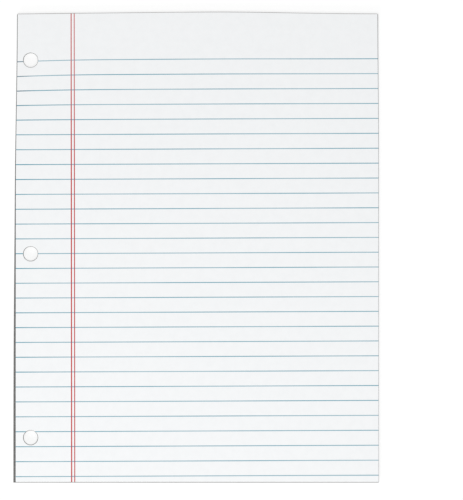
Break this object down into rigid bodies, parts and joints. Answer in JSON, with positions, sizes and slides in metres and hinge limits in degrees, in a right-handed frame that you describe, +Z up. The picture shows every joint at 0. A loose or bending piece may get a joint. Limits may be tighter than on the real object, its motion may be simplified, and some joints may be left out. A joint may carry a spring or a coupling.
{
  "type": "legal pad",
  "caption": "Glue-top writing pad with ruled sheets, a double margin line, binder holes down the left side and a stiff chipboard back.",
  "frame": {"origin": "under the middle of the whole pad, on the surface that it lies on", "axes": "+Z up out of the ruled face, +Y towards the glued top edge, +X towards the edge without holes"},
  "size_m": [0.2178, 0.28, 0.0052],
  "materials": {
    "white_paper": "matte",
    "grey_chipboard": "matte",
    "padding_glue": "satin"
  },
  "bodies": {
    "root": {"ruled_sheets": "white_paper", "back_board": "grey_chipboard", "top_glue": "padding_glue"}
  },
  "joints": []
}
